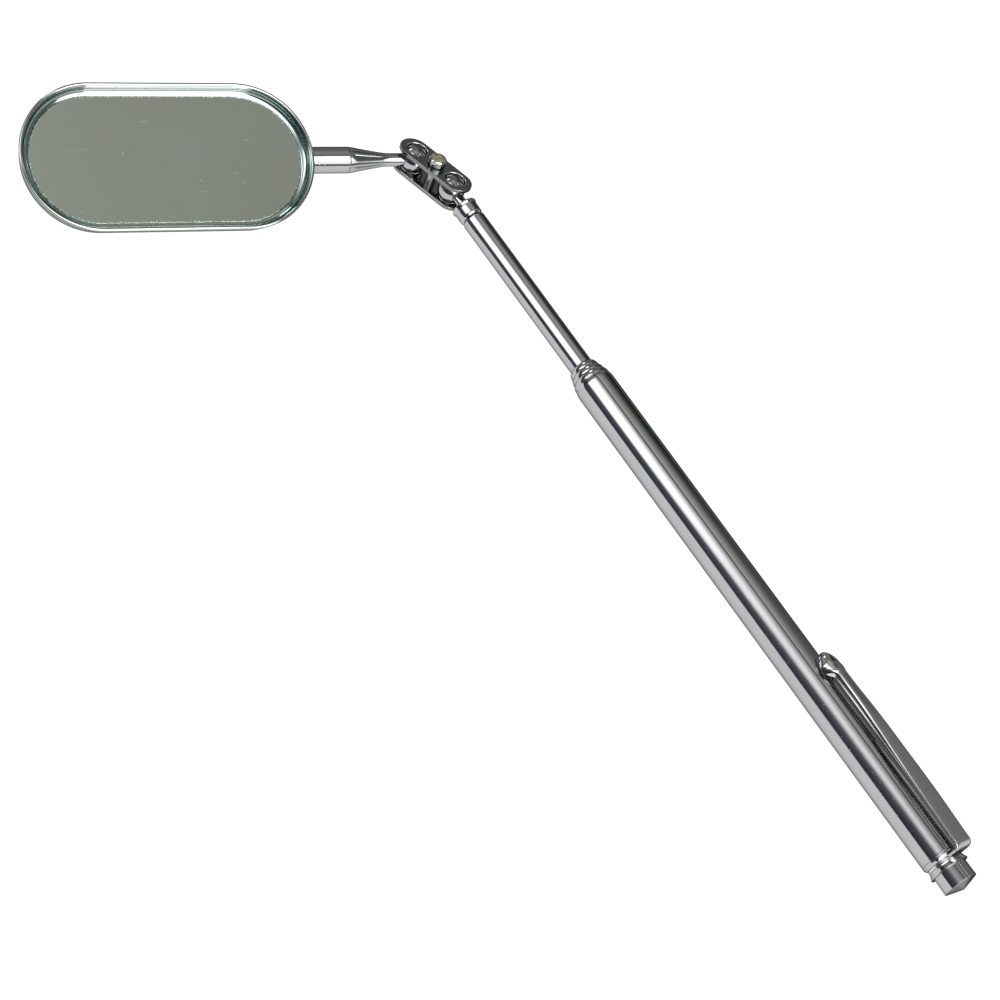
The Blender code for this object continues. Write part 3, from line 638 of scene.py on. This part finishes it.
def build_plate(name, side, node):
    """Plate with rounded edges, a rolled edge at each ball's hole and a screw hole."""
    section = [(CHAMFER, PLATE_IN), (0.0, PLATE_IN + CHAMFER)]
    section += arc((PLATE_EDGE, PLATE_OUT - PLATE_EDGE), PLATE_EDGE, 180, 90, 4)
    section.append((PLATE_EDGE + 0.05, PLATE_OUT))
    ball_hole = [(HOLE_R + CHAMFER, PLATE_IN), (HOLE_R, PLATE_IN), (HOLE_R - 0.05, PLATE_IN + 0.05),
                 (HOLE_R - 0.04, PLATE_IN + 0.08)]
    ball_hole += arc((RING_R, PLATE_OUT - HOLE_EDGE), HOLE_EDGE, 180, 90, 6)
    ball_hole.append((RING_R + CHAMFER, PLATE_OUT))
    screw_hole = [(SCREW_HOLE_R + CHAMFER, PLATE_IN), (SCREW_HOLE_R, PLATE_IN),
                  (SCREW_HOLE_R, PLATE_OUT), (SCREW_HOLE_R + CHAMFER, PLATE_OUT)]

    mesh_data = bmesh.new()

    def add_wall(outlines):
        """Skin outlines at their heights; returns the edges of the inner and outer face."""
        rings = [[mesh_data.verts.new((x, y, side * z)) for x, y in outline]
                 for outline, z in outlines]
        join_rings(mesh_data, rings)
        return loop_edges(mesh_data, rings[0]), loop_edges(mesh_data, rings[-1])

    inner_edges, outer_edges = add_wall([(plate_outline(inset), z) for inset, z in section])
    for center, profile in ((0.0, ball_hole), (-SPACING, ball_hole), (-SPACING / 2, screw_hole)):
        outlines = []
        for radius, z in profile:
            outlines.append(([(center + x, y) for x, y in circle(radius, HOLE_SIDES)], z))
        inner, outer = add_wall(outlines)
        inner_edges += inner
        outer_edges += outer
    bmesh.ops.triangle_fill(mesh_data, edges=inner_edges, use_beauty=True)
    bmesh.ops.triangle_fill(mesh_data, edges=outer_edges, use_beauty=True)
    make_piece(name, mesh_data, LINK, "link", PLATE_CHROME, (node,), sharp=25)


def build_fastener():
    """Round nut on the front plate, and the screw through it with its end spread flat."""
    middle = LINK @ Matrix.Translation((-SPACING / 2 * MM, 0, 0))
    base = PLATE_OUT + SEAM
    nut_top, nut_r = SCREW_TOP - 0.04, 1.58
    nut = [(base, 1.0), (base, 1.42), (base + 0.2, nut_r), (nut_top - 0.24, nut_r),
           (nut_top, 1.38), (nut_top, 1.0)]
    nut = round_corners(nut, (0, 0.03, 0.08, 0.12, 0.05, 0))
    make_piece("round_nut", lathe(nut, closed=True, axis="Z"), middle, "link", CHROME,
               ("clamp_nut",))

    shank, head_r = 0.95, 1.5
    disc = SCREW_TOP - 0.02
    head = -base - 0.9
    screw = [(head, 0), (head, 0.35), (head, 1.35), (head + 0.15, head_r), (-base, head_r),
             (-base, shank), (disc, shank), (disc, 1.28), (SCREW_TOP + 0.05, 1.22),
             (SCREW_TOP + 0.02, 0)]
    screw = round_corners(screw, (0, 0, 0.06, 0.06, 0.04, 0, 0, 0.02, 0.05, 0))
    make_piece("brass_screw", lathe(screw, axis="Z"), middle, "link", SCREW,
               ("clamp_screw",))


# ------------------------------------------------------------------ mirror stem and head

SLEEVE_FRONT = -12.3           # where the stem enters the sleeve on the dish
SLEEVE_R = 2.28
LIP_TOP = 2.6                  # above the stem's middle line
SHEET = 0.45
GLASS_FACE = LIP_TOP - 1.7
GLASS_BACK = GLASS_FACE - 1.6


def build_stem():
    """Straight neck behind the ball, then a taper that widens up to the sleeve."""
    neck = 1.15
    start_x, start_r = -5.6, neck + 0.06
    end_x, end_r = SLEEVE_FRONT + 0.9, SLEEVE_R - 0.1
    profile = [(-x, radius) for x, radius in ball_seat(neck)]
    profile += [(-4.8, neck), (start_x, start_r)]
    for i in range(1, 13):
        t = i / 12
        profile.append((start_x + (end_x - start_x) * t, start_r + (end_r - start_r) * t ** 1.15))
    profile += [(SLEEVE_FRONT + 0.25, SLEEVE_R - 0.02), (SLEEVE_FRONT + 0.03, SLEEVE_R - 0.01),
                (SLEEVE_FRONT + 0.03, 0)]
    make_piece("turned_stem", lathe(profile), STEM, "stem", TURNED,
               ("mirror_stem",), sharp=50)


def oval(profile):
    """Sweep (inset, z) points round the head's oval outline, and close both ends."""
    mesh_data = bmesh.new()
    rings = []
    for inset, z in profile:
        radius = HEAD_WIDTH / 2 - inset
        outline = (arc((CENTER_X + STRAIGHT, 0), radius, -90, 90, 56)
                   + arc((CENTER_X - STRAIGHT, 0), radius, 90, 270, 56))
        rings.append([mesh_data.verts.new((x, y, z)) for x, y in outline])
    join_rings(mesh_data, rings)
    mesh_data.faces.new(rings[0])
    mesh_data.faces.new(rings[-1])
    return mesh_data


def build_dish():
    """Pressed dish: a rolled lip, a wall stepped in for the glass and a rounded back edge."""
    lip, wall, seat, corner = 0.32, 0.35, 1.81, 2.4
    corner_center = (wall + 0.1 + corner, LIP_TOP - 2.0)
    outer = arc((lip, LIP_TOP - lip), lip, 0, 250, 16)
    outer += [(wall + 0.02, LIP_TOP - 3 * lip), (wall + 0.05, LIP_TOP - 1.7)]
    outer += arc(corner_center, corner, 180, 270, 14)
    inner = [(wall + SHEET - 0.06, LIP_TOP - 2 * lip)]
    inner += arc((seat + 0.05, LIP_TOP - 0.72), 1.05, 180, 262, 12)
    inner += [(seat, LIP_TOP - 1.85), (seat, LIP_TOP - 3.64)]
    inner += arc(corner_center, corner - SHEET, 240, 270, 4)
    make_piece("dish", oval(inner[::-1] + outer), HEAD, "mirror_head", DISH_CHROME,
               ("mirror_frame",), sharp=40)


def build_pane():
    """Mirror glass with a ground edge."""
    glass = [(GLASS_INSET + 0.12, GLASS_FACE), (GLASS_INSET, GLASS_FACE - 0.1),
             (GLASS_INSET, GLASS_BACK)]
    make_piece("mirror_pane", oval(glass), HEAD, "mirror_head", GLASS,
               ("mirror_glass",), sharp=10)


def build_sleeve():
    """Straight barrel between the stem and the dish's lip."""
    back = -STEM_REACH - 0.3
    sleeve = [(SLEEVE_FRONT, 0), (SLEEVE_FRONT, SLEEVE_R - 0.02), (SLEEVE_FRONT - 0.03, SLEEVE_R),
              (SLEEVE_FRONT - 0.3, SLEEVE_R), (back, SLEEVE_R), (back, 0)]
    make_piece("stem_sleeve", lathe(sleeve), HEAD, "mirror_head", CHROME,
               ("stem_barrel",), sharp=40)


# ------------------------------------------------------------------ pocket clip

# Shape of the strip along the handle, as (x, value): height of its top above the handle's
# middle line, depth of its folded rims, half of its width, and how square its section is.
CLIP_TIP = 63.7
CLIP_ROOT = 99.8
CLIP_TOP = ((CLIP_TIP, 4.75), (64.2, 5.25), (65.0, 5.6), (66.3, 5.8), (68.6, 5.76), (76.0, 5.86),
            (86.0, 5.62), (100.0, 5.14))
CLIP_DEPTH = ((CLIP_TIP, 0.55), (64.3, 1.15), (65.2, 1.65), (66.3, 1.85), (67.4, 1.75),
              (68.6, 1.2), (80.0, 0.9), (92.0, 0.45), (100.0, 0.42))
CLIP_HALF = ((CLIP_TIP, 0.35), (64.2, 0.95), (65.0, 1.65), (66.2, 2.2), (67.4, 1.95),
             (68.4, 1.3), (69.2, 1.25), (80.0, 1.75), (95.0, 2.35), (100.0, 2.35))
CLIP_SQUARE = ((66.5, 2.1), (69.2, 4.6), (100.0, 5.2))
CLIP_BEND = 1.15               # radius of the bend at the root, outside


def eased(x, keys):
    """Smooth interpolation through (x, value) keys, with a shared slope at each key."""
    xs = [key[0] for key in keys]
    values = [key[1] for key in keys]
    if x <= xs[0]:
        return values[0]
    if x >= xs[-1]:
        return values[-1]
    i = max(k for k in range(len(xs) - 1) if xs[k] <= x)
    chords = [(values[k + 1] - values[k]) / (xs[k + 1] - xs[k]) for k in range(len(xs) - 1)]

    def slope(k):
        if k in (0, len(xs) - 1):
            return chords[min(k, len(chords) - 1)]
        before, after = chords[k - 1], chords[k]
        return 0.0 if before * after <= 0 else 2 * before * after / (before + after)

    step = xs[i + 1] - xs[i]
    t = (x - xs[i]) / step
    return ((2 * t ** 3 - 3 * t ** 2 + 1) * values[i] + (t ** 3 - 2 * t ** 2 + t) * step * slope(i)
            + (3 * t ** 2 - 2 * t ** 3) * values[i + 1] + (t ** 3 - t ** 2) * step * slope(i + 1))


def clip_section(x, steps=36):
    """(y, z) points below the strip's top: the outside from rim to rim, then the inside back."""
    depth, half, square = eased(x, CLIP_DEPTH), eased(x, CLIP_HALF), eased(x, CLIP_SQUARE)
    inside_half = max(half - CLIP_SHEET, 0.05)
    outside, inside = [], []
    for i in range(steps + 1):
        a = math.pi * i / steps
        across = math.copysign(abs(math.cos(a)) ** (2 / square), math.cos(a))
        up = abs(math.sin(a)) ** (2 / square)
        outside.append((half * across, depth * (up - 1)))
        inside.append((inside_half * across, (depth - CLIP_SHEET) * up - depth))
    return outside + inside[::-1]


def build_clip():
    """Arm, bend and riser in one strip, and the washer under the end knob."""
    mesh_data = bmesh.new()
    rings = []

    def add_ring(places):
        rings.append([mesh_data.verts.new(place) for place in places])

    x = CLIP_TIP
    while x < CLIP_ROOT + 1e-6:
        top = eased(x, CLIP_TOP)
        add_ring([(x, y, top + z) for y, z in clip_section(x)])
        x += 0.15 if x < 70 else 0.5
    root = clip_section(CLIP_ROOT)
    center_x, center_z = RISER - CLIP_BEND, eased(CLIP_ROOT, CLIP_TOP) - CLIP_BEND
    for i in range(1, 13):
        a = math.pi / 2 * (1 - i / 12)
        add_ring([(center_x + (CLIP_BEND + z) * math.cos(a), y,
                   center_z + (CLIP_BEND + z) * math.sin(a)) for y, z in root])
    for height in (3.6, 3.0, 2.6):
        add_ring([(RISER + z, y, height) for y, z in root])
    join_rings(mesh_data, rings)
    for ring in (rings[0], rings[-1]):
        for i in range(len(ring) // 2 - 1):
            mesh_data.faces.new((ring[i], ring[i + 1], ring[-2 - i], ring[-1 - i]))
    piece = make_piece("clip_strip", mesh_data, CLIP, None, CLIP_CHROME,
                       ("clip_arm",), sharp=40)
    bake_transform(piece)

    inner_face, washer_r = RISER - CLIP_SHEET, 3.05
    washer = [(inner_face, PLUG_BORE), (inner_face, washer_r), (RISER, washer_r),
              (RISER, PLUG_BORE)]
    washer = round_corners(washer, (0, 0.06, 0.06, 0))
    make_piece("clip_washer", lathe(washer, closed=True), CLIP, "handle", CLIP_CHROME,
               ("clip_eyelet",))


build_barrel()
build_end_ring()
build_end_knob()
build_telescope()
build_stud()
build_ball("rod_ball_steel", LINK, "rod_ball", "rod_ball")
build_ball("mirror_ball_steel", MIRROR_BALL, "mirror_ball", "mirror_ball")
build_plate("link_plate_front", 1, "front_plate")
build_plate("link_plate_rear", -1, "rear_plate")
build_fastener()
build_stem()
build_dish()
build_pane()
build_sleeve()
build_clip()

HIDDEN = {"nose_bush": BUSH_BRASS, "outer_base_bush": BUSH_BRASS, "outer_friction_ring": BUSH_BRASS,
          "middle_friction_ring": BUSH_BRASS, "inner_friction_ring": BUSH_BRASS,
          "backing_pad": FOAM}
for node_name, node_material in HIDDEN.items():
    for node_slot in frame["nodes"][node_name].material_slots:
        node_slot.material = node_material

# ------------------------------------------------------------------ floor

FLOOR_HALF = 12.0              # in metres
FLOOR_HEIGHT = -90 * MM        # below the reach of the mirror when it swings down
FLOOR_LIGHT = 0.97
FLOOR_DIM = 0.1                # of that light, as painted shade where reflections see the far side


def build_floor():
    """White glowing floor. In reflections its glow is dimmed beyond the handle, but not beyond its end, as painted
    shade.
    """
    mesh = bpy.data.meshes.new("floor")
    mesh_data = bmesh.new()
    bmesh.ops.create_grid(mesh_data, x_segments=1, y_segments=1, size=FLOOR_HALF)
    mesh_data.to_mesh(mesh)
    mesh_data.free()
    floor = bpy.data.objects.new("floor", mesh)
    floor.location = (0, 0, FLOOR_HEIGHT)
    bpy.context.scene.collection.objects.link(floor)
    material, nodes, shader, place = new_material("floor_paper")
    shader.inputs["Base Color"].default_value = (0.1, 0.1, 0.1, 1)
    shader.inputs["Roughness"].default_value = 0.9
    shader.inputs["Specular IOR Level"].default_value = 0.1
    shader.inputs["Emission Color"].default_value = WHITE
    x, y, _ = nodes.split(place)
    # Painted shade: the floor's glow drops to FLOOR_DIM where reflections see past the handle's far side.
    lit = nodes.largest(nodes.map_range(y, 0.055, 0.085, 1.0, FLOOR_DIM),
                        nodes.map_range(x, 0.15, 0.25, FLOOR_DIM, 1.0),
                        nodes.add("ShaderNodeLightPath").outputs["Is Camera Ray"])
    nodes.connect(nodes.product(lit, FLOOR_LIGHT), shader.inputs["Emission Strength"])
    mesh.materials.append(material)


# ------------------------------------------------------------------ studio

# The studio is given by direction (x, y, z) and by the angle round the handle in degrees,
# which is 0 straight up and negative on the mirror's side.
ROOM_ROUND = ((-180, 0.05), (-92, 0.05), (-78, (0.07, 0.08, 0.11)), (-60, (0.14, 0.15, 0.17)),
              (-40, 0.30), (1, 0.55), (6, 0.15), (10, 0.17), (14, (0.80, 0.81, 0.77)),
              (19, (0.56, 0.58, 0.53)), (32, (0.42, 0.44, 0.40)), (48, (0.21, 0.23, 0.205)),
              (60, (0.07, 0.08, 0.07)), (84, 0.04), (150, 0.05), (180, 0.05))
ROOM_ALONG = ((-0.80, 0.5), (-0.68, 0.5), (-0.50, 1.0), (-0.24, 1.0), (-0.12, 0.65),
              (0.10, 0.65), (0.20, 0.4))
PANEL_LIGHT = 2.6
PANEL_ROUND = ((-180, 1.0), (-24, 1.0), (-3, 0.15), (2, 0.0), (180, 0.0))
PANEL_ALONG = ((-0.60, 0.06), (-0.56, 0.10), (-0.52, 1.0), (-0.32, 1.0), (-0.24, 0.48),
               (-0.13, 0.40), (-0.06, 0.12), (0.06, 0.12), (0.18, 0.8), (0.40, 0.9))
WINDOW_LIGHT = 4.0
WINDOW_ALONG = ((0.0, 0.0), (0.22, 0.0), (0.27, 1.0), (0.77, 1.0), (0.83, 0.0), (1.0, 0.0))
SCREEN_LIGHT = 1.8


def room_light(nodes, x, y, z, angle):
    """The dim room, darker near the floor except on the mirror's side."""
    room = nodes.blend_colors("MULTIPLY", nodes.curve(angle, ROOM_ROUND),
                              nodes.curve(x, ROOM_ALONG))
    low = nodes.largest(nodes.map_range(z, 0.0, 0.30, 0.12, 1.0), nodes.map_range(y, -0.3, -0.6))
    return nodes.blend_colors("MULTIPLY", room, low)


def side_panel(nodes, x, angle):
    """A white panel on the mirror's side, in patches along the handle."""
    bottom = nodes.map_range(x, -0.30, -0.16, -60.0, -48.0)
    fade = nodes.map_range(x, -0.40, -0.16, 9.0, 20.0)
    band = nodes.math("DIVIDE", nodes.math("SUBTRACT", angle, bottom), fade, clamp=True)
    return nodes.product(band, nodes.curve(angle, PANEL_ROUND), nodes.curve(x, PANEL_ALONG),
                         PANEL_LIGHT)


def end_panels(nodes, x, y, z):
    """Towards the handle's end: a window overhead, a bright sill below it and a soft screen."""
    window = nodes.product(nodes.curve(x, WINDOW_ALONG),
                           nodes.map_range(z, 0.50, 0.55, 0.0, WINDOW_LIGHT),
                           nodes.map_range(y, 0.42, 0.38), nodes.map_range(y, -0.40, -0.25))
    near_side = nodes.map_range(y, -0.35, -0.20)
    sill = nodes.product(nodes.map_range(x, 0.45, 0.60, 0.0, WINDOW_LIGHT),
                         nodes.map_range(y, 0.01, -0.015), near_side)
    screen = nodes.product(nodes.map_range(x, 0.72, 0.86, 0.0, SCREEN_LIGHT),
                           nodes.map_range(z, 0.22, 0.32), nodes.map_range(y, 0.50, 0.42),
                           near_side)
    return nodes.largest(window, sill, screen)


def far_glow(nodes, x, angle):
    """Two weak glows low on the side away from the mirror."""
    glow = nodes.largest(nodes.map_range(x, -0.30, -0.15, 0.0, 0.24),
                         nodes.map_range(x, -0.45, -0.60, 0.0, 0.25))
    return nodes.product(glow, nodes.map_range(angle, 40.1, 68.8))


def build_world():
    """The studio as chrome sees it, and plain white for the camera."""
    world = bpy.data.worlds.new("studio")
    bpy.context.scene.world = world
    world.use_nodes = True
    nodes = Nodes(world.node_tree)
    output = nodes.add("ShaderNodeOutputWorld")
    background = nodes.add("ShaderNodeBackground")
    nodes.connect(background.outputs[0], output.inputs["Surface"])
    x, y, z = nodes.split(nodes.add("ShaderNodeTexCoord").outputs["Generated"])
    angle = nodes.math("DEGREES", nodes.math("ARCTAN2", y, z))
    panels = nodes.largest(side_panel(nodes, x, angle), end_panels(nodes, x, y, z),
                           far_glow(nodes, x, angle))
    studio = nodes.blend_colors("ADD", room_light(nodes, x, y, z, angle), panels)
    seen = nodes.add("ShaderNodeLightPath").outputs["Is Camera Ray"]
    shown = nodes.blend_colors("MIX", studio, WHITE, seen)
    nodes.connect(shown, background.inputs["Color"])


def soft_light(name, direction, size, power):
    """Round lamp at 2 m from the rod ball, shining at it."""
    light = bpy.data.lights.new(name, "AREA")
    light.shape = "DISK"
    light.size = size
    light.energy = power
    lamp = bpy.data.objects.new(name, light)
    way = Vector(direction).normalized()
    lamp.location = rod_ball + way * 2.0
    lamp.rotation_mode = "QUATERNION"
    lamp.rotation_quaternion = way.to_track_quat("Z", "Y")
    bpy.context.scene.collection.objects.link(lamp)


# ------------------------------------------------------------------ camera

# Fitted to the outlines in the photo.
CAMERA_RIGHT = Vector((0.54832, 0.79594, 0.25657))
CAMERA_UP = Vector((-0.77136, 0.36286, 0.52282))
CAMERA_FROM_NOSE = Vector((164.03, -250.58, 373.612)) * MM


def build_camera():
    """Camera at the photo's angle, level with the photo's own frame."""
    camera = bpy.data.cameras.new("camera")
    camera.lens = 103.06
    camera.sensor_width = 36.0
    camera.clip_start = 0.01
    camera.clip_end = 10.0
    holder = bpy.data.objects.new("camera", camera)
    back = CAMERA_RIGHT.cross(CAMERA_UP)
    matrix = Matrix((CAMERA_RIGHT, CAMERA_UP, back)).transposed().to_4x4()
    matrix.translation = nose + CAMERA_FROM_NOSE
    holder.matrix_world = matrix
    bpy.context.scene.collection.objects.link(holder)
    bpy.context.scene.camera = holder


build_floor()
build_world()
soft_light("light_left", (-0.907, 0.161, 0.386), size=0.45, power=2.6)
soft_light("light_back", (0.06, 0.69, 0.72), size=0.20, power=0.4)
build_camera()
bpy.context.scene.view_settings.view_transform = "Standard"
